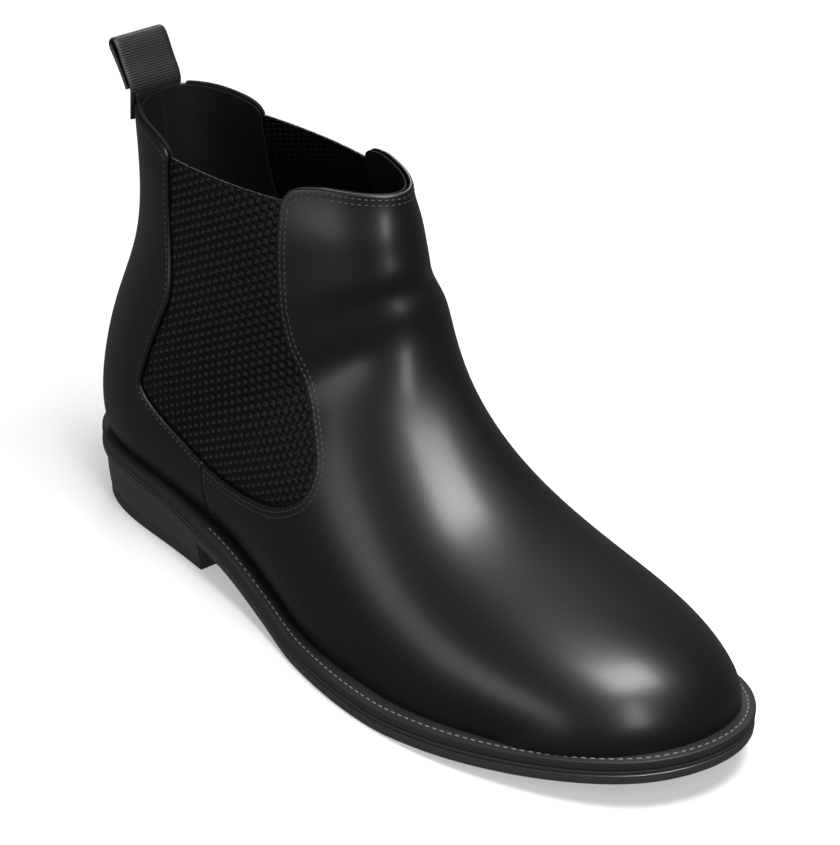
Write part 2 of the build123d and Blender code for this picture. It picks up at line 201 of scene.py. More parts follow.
def skin(u, t):
    """Outer face of the upper at station u and place t round the section."""
    q = along(SECTIONS, u)
    fx, fz, bx, bz, lateral, medial, share, back_full, front_full, ridge, turn = np.moveaxis(q, -1, 0)
    reach = np.hypot(fx - bx, fz - bz)
    ux, uz = (fx - bx) / reach, (fz - bz) / reach
    c, s = np.cos(2 * np.pi * t), np.sin(2 * np.pi * t)
    power = 2 / np.where(c < 0, front_full, back_full)
    widest = share * reach
    radius = np.where(c < 0, reach - widest, widest)
    half = np.where(s >= 0, -lateral, medial)
    up = widest - np.sign(c) * radius * np.abs(c)**power
    y = half * np.abs(s)**power + ridge * (up / reach)**2
    return np.stack([bx + ux * up + turn * y, y, bz + uz * up], -1)


def frame_at(u, t):
    """Point, change per u, change per t and outward normal."""
    du, dt = 1e-3, 1e-4
    p = skin(u, t)
    pu = (skin(u + du, t) - skin(u - du, t)) / (2 * du)
    pt = (skin(u, t + dt) - skin(u, t - dt)) / (2 * dt)
    n = np.cross(pt, pu)
    n /= np.linalg.norm(n, axis=-1, keepdims=True) + 1e-12
    return p, pu, pt, n


def solve(u, t, miss, rounds=12):
    """Newton steps on (u, t) until the two misses are zero."""
    for _ in range(rounds):
        e = miss(u, t)
        du, dt = 1e-4, 1e-5
        eu = (miss(u + du, t) - e) / du
        et = (miss(u, t + dt) - e) / dt
        det = eu[..., 0] * et[..., 1] - eu[..., 1] * et[..., 0]
        det = np.where(np.abs(det) < 1e-9, 1e-9, det)
        step_u = (e[..., 0] * et[..., 1] - e[..., 1] * et[..., 0]) / det
        step_t = (eu[..., 0] * e[..., 1] - eu[..., 1] * e[..., 0]) / det
        u = np.clip(u - np.clip(step_u, -0.6, 0.6), 0, LAST)
        t = t - np.clip(step_t, -0.03, 0.03)
    return u, t


class SideMap:
    """Finds the place on one side of the boot that shows at (x, z) in the side view."""

    def __init__(self, side):
        low, high = (0.02, 0.48) if side < 0 else (0.52, 0.98)
        u, t = np.meshgrid(np.linspace(0.3, LAST, 300), np.linspace(low, high, 120), indexing="ij")
        self.u, self.t = u.ravel(), t.ravel()
        p = skin(self.u, self.t)
        self.tree = KDTree(len(p))
        for k, (x, _, z) in enumerate(p):
            self.tree.insert((x, z, 0), k)
        self.tree.balance()

    def find(self, x, z):
        x, z = np.asarray(x, float), np.asarray(z, float)
        near = np.array([self.tree.find((a, b, 0))[1] for a, b in zip(x.ravel(), z.ravel())])
        u, t = self.u[near].reshape(x.shape), self.t[near].reshape(x.shape)

        def miss(u, t):
            p = skin(u, t)
            return np.stack([p[..., 0] - x, p[..., 2] - z], -1)

        return solve(u, t, miss)


SIDES = {-1: SideMap(-1), 1: SideMap(1)}


def resample(points, pitch, closed=False):
    """Points of a polyline at an even pitch."""
    p = np.asarray(points, float)
    if closed:
        p = np.vstack([p, p[:1]])
    length = np.r_[0, np.cumsum(np.linalg.norm(np.diff(p, axis=0), axis=1))]
    count = max(2, int(round(length[-1] / pitch)) + 1)
    at = np.linspace(0, length[-1], count)
    if closed:
        at = at[:-1]
    return np.stack([np.interp(at, length, p[:, k]) for k in range(p.shape[1])], -1)


def curve_through(points, pitch):
    """A smooth side-view curve through a few points, at an even pitch."""
    p = np.array(points, float)
    fine = along(natural_spline(p), np.linspace(0, len(p) - 1, 60 * len(p)))
    return resample(fine, pitch)


# ---------------------------------------------------------------- edges of the upper's pieces


def shift_of(side):
    """How far a side's opening is moved along the boot."""
    return GORE_SHIFT if side < 0 else -GORE_SHIFT


def gore_loop(side):
    """The side opening from its front top corner down, along the bottom and up to its back top corner."""
    loop = [GORE_TOP_FRONT] + GORE_FRONT + GORE_BOTTOM + GORE_BACK + [GORE_TOP_BACK]
    p = np.array(loop, float)
    p[:, 0] += shift_of(side)
    return curve_through(p, PITCH)


def split_at_seam(side):
    """The opening's edge on the vamp and on the quarter, from the seam outwards to the topline."""
    loop = gore_loop(side)
    bottom = np.where(loop[:, 1] < SEAM_TOP[1] + 4)[0]
    cut = bottom[np.argmin(np.abs(loop[bottom, 0] - SEAM_TOP[0]))]
    return loop[:cut + 1][::-1], loop[cut:]


def to_skin(side, points):
    """Side-view points as places on one side of the skin."""
    u, t = SIDES[side].find(points[:, 0], points[:, 1])
    return np.stack([u, t], -1)


def seam(side, start):
    """The side seam from the opening's edge down to the sole."""
    foot_z = sole_z(SEAM_FOOT[0] - 2) + FEATHER + 0.8
    foot_x = SEAM_FOOT[0] + 1
    p = curve_through([start, (start[0] + 0.6, start[1] - 8), (foot_x, foot_z)], PITCH)
    return to_skin(side, p)


def top_height(x, side, line):
    """Height of a topline over places along the boot."""
    p = line.copy()
    if line is FRONT_TOPLINE:
        p[:-1, 0] += shift_of(side)
    else:
        p[:-2, 0] += shift_of(side)
        p = p[::-1]
    fine = along(natural_spline(p), np.linspace(0, len(p) - 1, 400))
    order = np.argsort(fine[:, 0])
    return np.interp(x, fine[order, 0], fine[order, 1])


def topline(side, line, start_t, end_t):
    """The topline on one side as places on the skin, from place start_t to end_t."""
    t = np.linspace(start_t, end_t, 60)
    u = np.full_like(t, 13.8)
    for _ in range(25):
        p = skin(u, t)
        want = top_height(p[:, 0], side, line)
        slope = (skin(u + 1e-3, t)[:, 2] - p[:, 2]) / 1e-3
        u = np.clip(u - 0.7 * (p[:, 2] - want) / slope, 0, LAST)
    return np.stack([u, t], -1)


def sole_contact(count=420, rise=0.9):
    """Where the upper meets the sole, all the way round from the heel, lateral side first."""
    ring = ring_spline(SOLE_EDGE)
    w = np.linspace(0, len(SOLE_EDGE), count, endpoint=False)
    p = along(ring, w)
    tangent = along(ring, w + 0.01) - along(ring, w - 0.01)
    tangent /= np.linalg.norm(tangent, axis=1)[:, None]
    inward = np.stack([-tangent[:, 1], tangent[:, 0]], -1)
    want = p + inward * LEDGE
    height = sole_z(want[:, 0]) + FEATHER + rise
    u, t = np.meshgrid(np.linspace(0.0, 10.5, 400), np.linspace(-0.5, 0.5, 400, endpoint=False), indexing="ij")
    u, t = u.ravel(), t.ravel()
    q = skin(u, t)
    tree = KDTree(len(q))
    for k, v in enumerate(q):
        tree.insert(v, k)
    tree.balance()
    near = np.array([tree.find((a, b, c))[1] for (a, b), c in zip(want, height)])
    u, t = u[near], t[near] % 1.0

    def miss(u, t):
        s = skin(u, t)
        side = (s[..., 0] - want[:, 0]) * tangent[:, 0] + (s[..., 1] - want[:, 1]) * tangent[:, 1]
        return np.stack([s[..., 2] - sole_z(s[..., 0]) - FEATHER - rise, side], -1)

    u, t = solve(u, t, miss, 14)
    return np.stack([u, t % 1.0], -1)


CONTACT = sole_contact()


def contact_between(start, end, forward):
    """The stretch of the sole contact between two places; forward runs lateral side, toe, medial side."""
    p = skin(CONTACT[:, 0], CONTACT[:, 1])
    a = np.argmin(np.linalg.norm(p - skin(*start), axis=1))
    b = np.argmin(np.linalg.norm(p - skin(*end), axis=1))
    n = len(CONTACT)
    if forward:
        index = np.arange(a + 1, b if b > a else b + n) % n
    else:
        index = np.arange(a - 1, b if b < a else b - n, -1) % n
    return CONTACT[index]


def unwrap(places):
    """Keeps the place round the section continuous along a loop."""
    out = places.copy()
    out[:, 1] = np.unwrap(out[:, 1] * 2 * np.pi) / (2 * np.pi)
    return out


def even(places, pitch):
    """Places on the skin at an even pitch in space."""
    p = skin(places[:, 0], places[:, 1])
    keep = np.r_[True, np.linalg.norm(np.diff(p, axis=0), axis=1) > 1e-4]
    places, p = places[keep], p[keep]
    length = np.r_[0, np.cumsum(np.linalg.norm(np.diff(p, axis=0), axis=1))]
    at = np.linspace(0, length[-1], max(2, int(round(length[-1] / pitch)) + 1))
    return np.stack([np.interp(at, length, places[:, 0]), np.interp(at, length, places[:, 1])], -1)


def inset_places(places, distance, closed, flip):
    """A loop of places moved sideways along the skin."""
    p, pu, pt, n = frame_at(places[:, 0], places[:, 1])
    if closed:
        tangent = np.roll(p, -1, 0) - np.roll(p, 1, 0)
    else:
        tangent = np.gradient(p, axis=0)
    inward = np.cross(n, tangent) * flip
    inward /= np.linalg.norm(inward, axis=1)[:, None] + 1e-12
    d = np.asarray(distance).reshape(-1, 1) * inward
    guu, gut, gtt = (pu * pu).sum(1), (pu * pt).sum(1), (pt * pt).sum(1)
    bu, bt = (pu * d).sum(1), (pt * d).sum(1)
    det = guu * gtt - gut**2
    return places + np.stack([(gtt * bu - gut * bt) / det, (guu * bt - gut * bu) / det], -1)

# ---------------------------------------------------------------- materials


def shader(name, colour, rough, coat=0.0, coat_rough=0.1, metal=0.0, sheen=0.0, specular=0.5):
    """A material with its plain values on the shader, and the nodes to add more."""
    material = bpy.data.materials.new(name)
    material.use_nodes = True
    bsdf = material.node_tree.nodes["Principled BSDF"]
    bsdf.inputs["Base Color"].default_value = (*colour, 1)
    bsdf.inputs["Roughness"].default_value = rough
    bsdf.inputs["Coat Weight"].default_value = coat
    bsdf.inputs["Coat Roughness"].default_value = coat_rough
    bsdf.inputs["Metallic"].default_value = metal
    bsdf.inputs["Sheen Weight"].default_value = sheen
    bsdf.inputs["Specular IOR Level"].default_value = specular
    return material


def grain(material, scale, distance, detail=3.0, stretch=(1, 1, 1)):
    """Adds a fine bump to a material, in object space."""
    nodes = material.node_tree.nodes
    links = material.node_tree.links
    place = nodes.new("ShaderNodeTexCoord")
    turn = nodes.new("ShaderNodeMapping")
    turn.inputs["Scale"].default_value = stretch
    noise = nodes.new("ShaderNodeTexNoise")
    noise.inputs["Scale"].default_value = scale
    noise.inputs["Detail"].default_value = detail
    bump = nodes.new("ShaderNodeBump")
    bump.inputs["Strength"].default_value = 1.0
    bump.inputs["Distance"].default_value = distance
    links.new(place.outputs["Object"], turn.inputs["Vector"])
    links.new(turn.outputs["Vector"], noise.inputs["Vector"])
    links.new(noise.outputs["Fac"], bump.inputs["Height"])
    links.new(bump.outputs["Normal"], material.node_tree.nodes["Principled BSDF"].inputs["Normal"])
    return material


MATERIALS = {
    "calf_leather": grain(
        shader("black box calf", (0.0025, 0.0025, 0.003), 0.38, 0.2, 0.24, specular=0.35), 900, 0.00002),
    "elastic": grain(shader("elastic gore", (0.001, 0.001, 0.0012), 0.42, specular=0.22), 2500, 0.00006),
    "webbing": grain(shader("pull tab webbing", (0.007, 0.007, 0.0075), 0.5, specular=0.4), 2500, 0.00005),
    "thread": shader("black waxed thread", (0.02, 0.02, 0.021), 0.45),
    "welt_thread": shader("grey welt thread", (0.13, 0.13, 0.13), 0.5),
    "lining_leather": grain(
        shader("dark lining leather", (0.003, 0.003, 0.003), 0.7, specular=0.15), 600, 0.00003),
    "fibreboard": shader("fibreboard", (0.35, 0.22, 0.12), 0.85),
    "welt_leather": grain(shader("welt leather", (0.010, 0.010, 0.010), 0.5), 700, 0.00003),
    "sole_leather": grain(shader("inked sole edge", (0.020, 0.020, 0.021), 0.36, 0.2, 0.25), 500, 0.00003),
    "sole_rubber": shader("top lift rubber", (0.020, 0.020, 0.021), 0.5),
    "heel_stack": grain(shader("inked heel", (0.020, 0.020, 0.021), 0.38, 0.2, 0.25), 500, 0.00003),
}

# ---------------------------------------------------------------- meshes


def inside(points, loop):
    """Which points lie inside a closed loop."""
    x, y = points[:, 0], points[:, 1]
    result = np.zeros(len(points), bool)
    a = loop
    b = np.roll(loop, -1, 0)
    for (ax, ay), (bx, by) in zip(a, b):
        cross = (ay > y) != (by > y)
        result ^= cross & (x < (bx - ax) * (y - ay) / (by - ay + 1e-15) + ax)
    return result


def make_mesh(name, vertices, faces, slot, body="boot"):
    """A piece from vertices in millimetres."""
    mesh = bpy.data.meshes.new(name)
    mesh.from_pydata([tuple(v * MM) for v in np.asarray(vertices, float)], [], [tuple(f) for f in faces])
    mesh.update()
    piece = bpy.data.objects.new(f"{name}_made", mesh)
    bpy.context.collection.objects.link(piece)
    mesh.shade_smooth()
    piece.data.materials.append(MATERIALS[slot])
    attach(piece, body)
    return piece


def edge_distance(points, loop_points):
    """Distance of places to the nearest of a loop's points."""
    tree = KDTree(len(loop_points))
    for k, p in enumerate(loop_points):
        tree.insert(p, k)
    tree.balance()
    return np.array([tree.find(p)[2] for p in points])


def rounded_edge(distance, radius):
    """How far a folded edge drops below the skin at a distance from the edge."""
    w = np.clip(1 - distance / radius, 0, 1)
    return radius * 0.55 * (1 - np.sqrt(np.clip(1 - w * w, 0, 1)))


def panel(name, loop, slot, flip=1, depth=0.0, thick=LEATHER, fold=0.9):
    """A sheet of the upper: an outer face that follows the skin at a depth, a rounded rim and an inner face."""
    loop = unwrap(loop)
    rings = [loop]
    for d in RINGS[1:]:
        rings.append(inset_places(loop, np.full(len(loop), d), True, flip))
    p = skin(loop[:, 0], loop[:, 1])
    low, high = loop.min(0), loop.max(0)
    rows = np.arange(low[0], high[0], GRID_ROW)
    columns = np.arange(low[1], high[1], GRID_COLUMN)
    gu, gt = np.meshgrid(rows, columns, indexing="ij")
    gt = gt + GRID_COLUMN / 2 * (np.arange(len(rows)) % 2)[:, None]
    grid = np.stack([gu.ravel(), gt.ravel()], -1)
    grid = grid[inside(grid * CHART, loop * CHART)]
    q = skin(grid[:, 0], grid[:, 1])
    near = edge_distance(q, p)
    grid = grid[near > RINGS[-1] + RING_CLEAR]
    places = [loop]
    for r, d in zip(rings[1:], RINGS[1:]):
        ok = inside(r * CHART, loop * CHART)
        far = edge_distance(skin(r[:, 0], r[:, 1]), p) > d * 0.75
        places.append(r[ok & far])
    places = np.vstack(places + [grid])
    n = len(loop)
    edges = [(k, (k + 1) % n) for k in range(n)]
    out = delaunay_2d_cdt([Vector(v) for v in places * CHART], edges, [], 1, 1e-6)
    chart = np.array([tuple(v) for v in out[0]]) / CHART
    faces = [tuple(f) for f in out[2]]
    # turn every face outwards
    position, _, _, normal = frame_at(chart[:, 0], chart[:, 1])
    f = np.array(faces)
    cross = np.cross(position[f[:, 1]] - position[f[:, 0]], position[f[:, 2]] - position[f[:, 0]])
    if (cross * normal[f].mean(1)).sum() < 0:
        f = f[:, ::-1]
    distance = edge_distance(position, p)
    drop = depth + rounded_edge(distance, fold)
    outer = position - normal * drop[:, None]
    inner = position - normal * (depth + thick)
    count = len(outer)
    border = border_edges(f)
    vertices = np.vstack([outer, inner])
    quads = [(b, a, a + count, b + count) for a, b in border]
    all_faces = [tuple(t) for t in f] + [tuple(t[::-1] + count) for t in f] + quads
    return make_mesh(name, vertices, all_faces, slot)


def border_edges(f):
    """Directed edges that only one triangle has."""
    seen = {}
    for t in f:
        for a, b in ((t[0], t[1]), (t[1], t[2]), (t[2], t[0])):
            seen[(int(a), int(b))] = 1
    return [(a, b) for (a, b) in seen if (b, a) not in seen]


def capsule_rows(name, centres, directions, normals, length, radius, slot, sides=8):
    """Stitches: short rounded threads laid along a line and sunk a little at their ends."""
    vertices = []
    faces = []
    stations = ((-0.5, 0.25, -0.75), (-0.42, 0.7, -0.25), (-0.2, 1.0, 0.1), (0.2, 1.0, 0.1), (0.42, 0.7, -0.25),
                (0.5, 0.25, -0.75))
    for c, d, n in zip(centres, directions, normals):
        d = d / (np.linalg.norm(d) + 1e-9)
        n = n - d * (n @ d)
        n = n / (np.linalg.norm(n) + 1e-9)
        side = np.cross(n, d)
        base = len(vertices)
        for at, wide, rise in stations:
            for k in range(sides):
                a = 2 * math.pi * k / sides
                ring = side * math.cos(a) + n * math.sin(a)
                vertices.append(c + d * (at * length) + ring * (radius * wide) + n * (radius * rise))
        for s in range(len(stations) - 1):
            for k in range(sides):
                a = base + s * sides + k
                b = base + s * sides + (k + 1) % sides
                faces.append((a, b, b + sides, a + sides))
        faces.append(tuple(base + k for k in reversed(range(sides))))
        last = base + (len(stations) - 1) * sides
        faces.append(tuple(last + k for k in range(sides)))
    return make_mesh(name, vertices, faces, slot)


def stitch_row(name, places):
    """A row of stitches along places on the skin."""
    pitch, length, radius, depth = STITCH
    line = even(unwrap(places), pitch)
    p, _, _, n = frame_at(line[:, 0], line[:, 1])
    middle = (p[1:] + p[:-1]) / 2
    direction = p[1:] - p[:-1]
    normal = (n[1:] + n[:-1]) / 2
    return capsule_rows(name, middle - normal * depth, direction, normal, length, radius, "thread")


def ring_mesh(name, rings, slot, closed_profile=False, body="boot"):
    """Closed loops of equal count joined one to the next, with the first and last filled or joined."""
    rings = [np.asarray(r, float) for r in rings]
    n = len(rings[0])
    vertices = np.vstack(rings)
    faces = []
    steps = len(rings) if closed_profile else len(rings) - 1
    for r in range(steps):
        a, b = r * n, ((r + 1) % len(rings)) * n
        for k in range(n):
            j = (k + 1) % n
            faces.append((a + k, a + j, b + j, b + k))
    if not closed_profile:
        faces.append(tuple(reversed(range(n))))
        faces.append(tuple((len(rings) - 1) * n + k for k in range(n)))
    return make_mesh(name, vertices, faces, slot, body)


def sole_ring(inset, rise, count=336):
    """The sole's outline moved inwards, at a height above its lower face."""
    ring = ring_spline(SOLE_EDGE)
    w = np.linspace(0, len(SOLE_EDGE), count, endpoint=False)
    p = along(ring, w)
    tangent = along(ring, w + 0.01) - along(ring, w - 0.01)
    tangent /= np.linalg.norm(tangent, axis=1)[:, None]
    p = p + np.stack([-tangent[:, 1], tangent[:, 0]], -1) * inset
    return np.stack([p[:, 0], p[:, 1], sole_z(p[:, 0]) + rise], -1)


def plan_fill(loop, height, pitch=5.0):
    """Triangles that fill a plan outline, with heights from a function."""
    low, high = loop.min(0), loop.max(0)
    gx, gy = np.meshgrid(np.arange(low[0], high[0], pitch), np.arange(low[1], high[1], pitch), indexing="ij")
    grid = np.stack([gx.ravel(), gy.ravel()], -1)
    grid = grid[inside(grid, loop[:, :2])]
    near = edge_distance(np.c_[grid, np.zeros(len(grid))], np.c_[loop[:, :2], np.zeros(len(loop))])
    grid = grid[near > pitch * 0.45]
    points = np.vstack([loop[:, :2], grid])
    n = len(loop)
    edges = [(k, (k + 1) % n) for k in range(n)]
    out = delaunay_2d_cdt([Vector(v) for v in points], edges, [], 1, 1e-5)
    flat = np.array([tuple(v) for v in out[0]])
    return np.c_[flat, height(flat[:, 0])], np.array([tuple(f) for f in out[2]])


def slab(name, profile, slot, floor=None, roof=None, keep=None):
    """A solid layer: a wall through (inset, rise) rows and filled faces under and over it."""
    rings = [sole_ring(inset, rise) if keep is None else keep(inset, rise) for inset, rise in profile]
    n = len(rings[0])
    vertices = [r for r in rings]
    faces = []
    for r in range(len(rings) - 1):
        for k in range(n):
            j = (k + 1) % n
            faces.append((r * n + k, r * n + j, (r + 1) * n + j, (r + 1) * n + k))
    base = len(rings) * n
    for ring, rise, side, limit in ((rings[0], profile[0][1], -1, floor), (rings[-1], profile[-1][1], 1, roof)):
        height = limit if limit is not None else (lambda x, rise=rise: sole_z(x) + rise)
        v, f = plan_fill(ring, height)
        v[:n] = ring
        cross = np.cross(v[f[:, 1]] - v[f[:, 0]], v[f[:, 2]] - v[f[:, 0]])[:, 2]
        f = np.where((cross * side > 0)[:, None], f, f[:, ::-1])
        vertices.append(v)
        faces += [tuple(int(i) + base for i in t) for t in f]
        base += len(v)
    piece = make_mesh(name, np.vstack(vertices), faces, slot)
    weld(piece)
    return piece


def weld(piece):
    """Joins the doubled points of a piece and keeps its corners sharp."""
    work = bmesh.new()
    work.from_mesh(piece.data)
    bmesh.ops.remove_doubles(work, verts=work.verts, dist=0.00001)
    work.to_mesh(piece.data)
    work.free()
    piece.data.set_sharp_from_angle(angle=math.radians(38))


def heel_ring(inset, height, count=150):
    """The heel's outline: the sole's back part, closed by the straight breast."""
    ring = sole_ring(inset, 0, 1200)
    back = ring[ring[:, 0] < HEEL_BREAST]
    start = np.argmax(np.linalg.norm(back - np.roll(back, 1, 0), axis=1))
    back = np.roll(back, -start, 0)
    first, last = back[0].copy(), back[-1].copy()
    first[0] = last[0] = HEEL_BREAST
    arc = resample(np.vstack([first[None], back, last[None]])[:, :2], 1.2)
    at = np.linspace(0, 1, len(arc))
    want = np.linspace(0, 1, count)
    arc = np.stack([np.interp(want, at, arc[:, k]) for k in (0, 1)], -1)
    breast = np.linspace(arc[-1], arc[0], 42)[1:-1]
    loop = np.vstack([arc, breast])
    z = sole_z(loop[:, 0]) if height is None else np.full(len(loop), float(height))
    return np.c_[loop, z]


def tube(name, points, radius, slot, sides=12):
    """A round bead along a line of points."""
    p = np.asarray(points, float)
    tangent = np.gradient(p, axis=0)
    tangent /= np.linalg.norm(tangent, axis=1)[:, None]
    side = np.cross(tangent, (0, 0, 1.0))
    side /= np.linalg.norm(side, axis=1)[:, None]
    rise = np.cross(side, tangent)
    radii = np.full(len(p), float(radius))
    radii[0] = radii[-1] = radius * 0.4
    rings = []
    for k in range(len(p)):
        a = np.linspace(0, 2 * math.pi, sides, endpoint=False)[:, None]
        rings.append(p[k] + (side[k] * np.cos(a) + rise[k] * np.sin(a)) * radii[k])
    return ring_mesh(name, rings, slot)


# ---------------------------------------------------------------- the upper
EDGES = {}
for side in (-1, 1):
    vamp_side, quarter_side = split_at_seam(side)
    gore_front_edge = to_skin(side, vamp_side)
    gore_back_edge = to_skin(side, quarter_side)
    EDGES[side] = {
        "vamp": gore_front_edge,
        "quarter": gore_back_edge,
        "seam": seam(side, vamp_side[0]),
        "front_top": topline(side, FRONT_TOPLINE, gore_front_edge[-1, 1], 0.5),
        "back_top": topline(side, BACK_TOPLINE, gore_back_edge[-1, 1], 0.0 if side < 0 else 1.0),
    }


def joined(*runs):
    """Runs of places made into one closed loop at an even pitch."""
    parts = [even(unwrap(r), PITCH)[:-1] for r in runs if len(r) > 1]
    return unwrap(np.vstack(parts))


def vamp_loop():
    """The vamp's outline: gore edges, front topline, side seams and the sole round the toe."""
    left, right = EDGES[-1], EDGES[1]
    contact = contact_between(right["seam"][-1], left["seam"][-1], False)
    foot = np.vstack([right["seam"][-1:], contact, left["seam"][-1:]])
    return joined(left["vamp"], np.vstack([left["vamp"][-1:], left["front_top"]]),
                  np.vstack([right["front_top"][::-1], right["vamp"][-1:]]), right["vamp"][::-1],
                  right["seam"], foot, left["seam"][::-1])


def quarter_loop(side):
    """A quarter's outline: side seam, sole to the heel's centre, back seam, topline and gore edge."""
    e = EDGES[side]
    centre = 0.0 if side < 0 else 1.0
    heel = min(range(len(CONTACT)), key=lambda k: abs((CONTACT[k, 1] + 0.5) % 1.0 - 0.5))
    contact = contact_between(e["seam"][-1], CONTACT[heel], side > 0)
    contact = contact[np.minimum(contact[:, 1] % 1.0, 1 - contact[:, 1] % 1.0) > 0.004]
    low = np.array([[CONTACT[heel, 0], centre]])
    foot = np.vstack([e["seam"][-1:], contact, low])
    back = np.array([[u, centre] for u in np.linspace(low[0, 0], e["back_top"][-1, 0], 90)])
    top = np.vstack([e["back_top"][::-1], e["quarter"][-1:]])
    return joined(e["seam"], foot, back, top, e["quarter"][::-1])


def turning(loop):
    """1 if a loop runs anticlockwise as seen from outside, otherwise -1."""
    u, t = loop[:, 0], loop[:, 1]
    return 1 if (t * np.roll(u, -1) - np.roll(t, -1) * u).sum() > 0 else -1


VAMP_LOOP = vamp_loop()
QUARTER_LOOPS = {side: quarter_loop(side) for side in (-1, 1)}
NAMES = {-1: "lateral", 1: "medial"}


def upper():
    """The leather panels and their linings."""
    vamp = panel("vamp", VAMP_LOOP, "calf_leather", turning(VAMP_LOOP))
    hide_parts("vamp", "toe_puff", "vamp_interlining")
    as_lining = {"depth": UPPER - LINING, "thick": LINING, "fold": LINING_FOLD}
    lining = panel("vamp_lining", VAMP_LOOP, "lining_leather", turning(VAMP_LOOP), **as_lining)
    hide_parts("vamp_lining")
    for side, name in NAMES.items():
        loop = QUARTER_LOOPS[side]
        quarter = panel(f"quarter_{name}", loop, "calf_leather", turning(loop))
        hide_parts(f"quarter_{name}", f"quarter_interlining_{name}")
        inner = panel(f"back_lining_{name}", loop, "lining_leather", turning(loop), **as_lining)
        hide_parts("back_lining", "heel_counter", "pull_tab_inner_leg")


def gore_relief(x, z):
    """Height of the elastic's woven chains."""
    column = np.round(x / CHAIN_PITCH)
    across = np.clip(np.cos(np.pi * (x / CHAIN_PITCH - column)), 0, 1)
    chain = np.cos(2 * np.pi * (z / BUMP_PITCH + 0.5 * (column % 2) + 0.12 * (x / CHAIN_PITCH - column)))
    return BUMP_HEIGHT * across**1.4 * (0.55 + 0.45 * chain)


def spread(points):
    """Mean distance of points from their centre."""
    return np.linalg.norm(points - points.mean(0), axis=1).mean()


def gore(side):
    """An elastic gore with its woven relief, tucked under the leather."""
    loop = gore_loop(side)
    shift = shift_of(side)
    tangent = np.gradient(loop, axis=0)
    tangent /= np.linalg.norm(tangent, axis=1)[:, None]
    wide = loop + np.stack([-tangent[:, 1], tangent[:, 0]], -1) * -GORE_TUCK
    if spread(wide) < spread(loop):
        wide = 2 * loop - wide
    rows = np.arange(GORE_LOW, GORE_HIGH, GORE_STEP)
    xs, zs = [], []
    for z in rows:
        crossing = []
        for a, b in zip(wide[:-1], wide[1:]):
            if (a[1] - z) * (b[1] - z) <= 0 and a[1] != b[1]:
                crossing.append(a[0] + (b[0] - a[0]) * (z - a[1]) / (b[1] - a[1]))
        if z > GORE_STRAIGHT:
            crossing = [GORE_TOP_BACK[0] - GORE_TUCK + shift, GORE_TOP_FRONT[0] + GORE_TUCK + shift]
        if len(crossing) < 2:
            continue
        xs.append(np.linspace(min(crossing), max(crossing), GORE_COLUMNS))
        zs.append(np.full(GORE_COLUMNS, z))
    x, z = np.array(xs), np.array(zs)
    top = GORE_TOP_BACK[1] + (x - shift - GORE_TOP_BACK[0]) * (GORE_TOP_FRONT[1] - GORE_TOP_BACK[1]) / (
        GORE_TOP_FRONT[0] - GORE_TOP_BACK[0])
    z = z.min() + (z - z.min()) * (top - z.min()) / (z.max() - z.min())
    u, t = SIDES[side].find(x, z)
    p, _, _, n = frame_at(u, t)
    selvedge = np.clip((top - z) / 1.2, 0, 1)
    line = resample(loop, 0.3)
    flat = np.c_[x.ravel(), z.ravel()]
    near = edge_distance(np.c_[flat, np.zeros(len(flat))], np.c_[line, np.zeros(len(line))])
    clear = np.where(inside(flat, loop), np.clip((near - 0.2) / 1.4, 0, 1), 0).reshape(x.shape)
    height = (gore_relief(x - shift, z) * selvedge + 0.25 * (1 - selvedge)) * clear
    outer = p - n * (LEATHER + 0.05 - height)[..., None]
    inner = p - n * (LEATHER + MIDDLE + 0.15 - 0.5 * gore_relief(x - shift + 1.5, z * 1.6))[..., None]
    r, c = x.shape
    index = np.arange(r * c).reshape(r, c)
    a, b = index[:-1, :-1].ravel(), index[:-1, 1:].ravel()
    d, e = index[1:, 1:].ravel(), index[1:, :-1].ravel()
    front = np.stack([a, b, d, e], -1)
    if side > 0:
        front = front[:, ::-1]
    back = front[:, ::-1] + r * c
    rim = np.r_[index[0], index[1:, -1], index[-1, -2::-1], index[-2:0:-1, 0]]
    walls = [(rim[k - 1], rim[k], rim[k] + r * c, rim[k - 1] + r * c) for k in range(len(rim))]
    if side < 0:
        walls = [w[::-1] for w in walls]
    faces = [tuple(f) for f in front] + [tuple(f) for f in back] + walls
    vertices = np.vstack([outer.reshape(-1, 3), inner.reshape(-1, 3)])
    piece = make_mesh(f"gore_{NAMES[side]}", vertices, faces, "elastic")
    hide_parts(f"gore_{NAMES[side]}")


def inner_row(places, distance, loop):
    """A row beside an edge, on the side that lies on the piece."""
    best = None
    for way in (1, -1):
        row = inset_places(unwrap(places), np.full(len(places), distance), False, way)
        row[:, 1] += np.round(loop[:, 1].mean() - row[:, 1].mean())
        row = row[inside(row * CHART, loop * CHART)]
        if best is None or len(row) > len(best):
            best = row
    return best


def stitches():
    """Every row of stitches on the upper."""
    for side, name in NAMES.items():
        e = EDGES[side]
        quarter = QUARTER_LOOPS[side]
        for row, distance in enumerate(GORE_ROWS):
            stitch_row(f"vamp_gore_stitch_{name}_{row}", inner_row(e["vamp"], distance, VAMP_LOOP))
            stitch_row(f"front_top_stitch_{name}_{row}", inner_row(e["front_top"], distance, VAMP_LOOP))
        stitch_row(f"quarter_gore_stitch_{name}", inner_row(e["quarter"], QUARTER_ROW, quarter))
        stitch_row(f"side_seam_stitch_{name}", inner_row(e["seam"], SEAM_ROW, VAMP_LOOP))
        stitch_row(f"back_top_stitch_{name}", inner_row(e["back_top"], COLLAR_ROW, quarter))


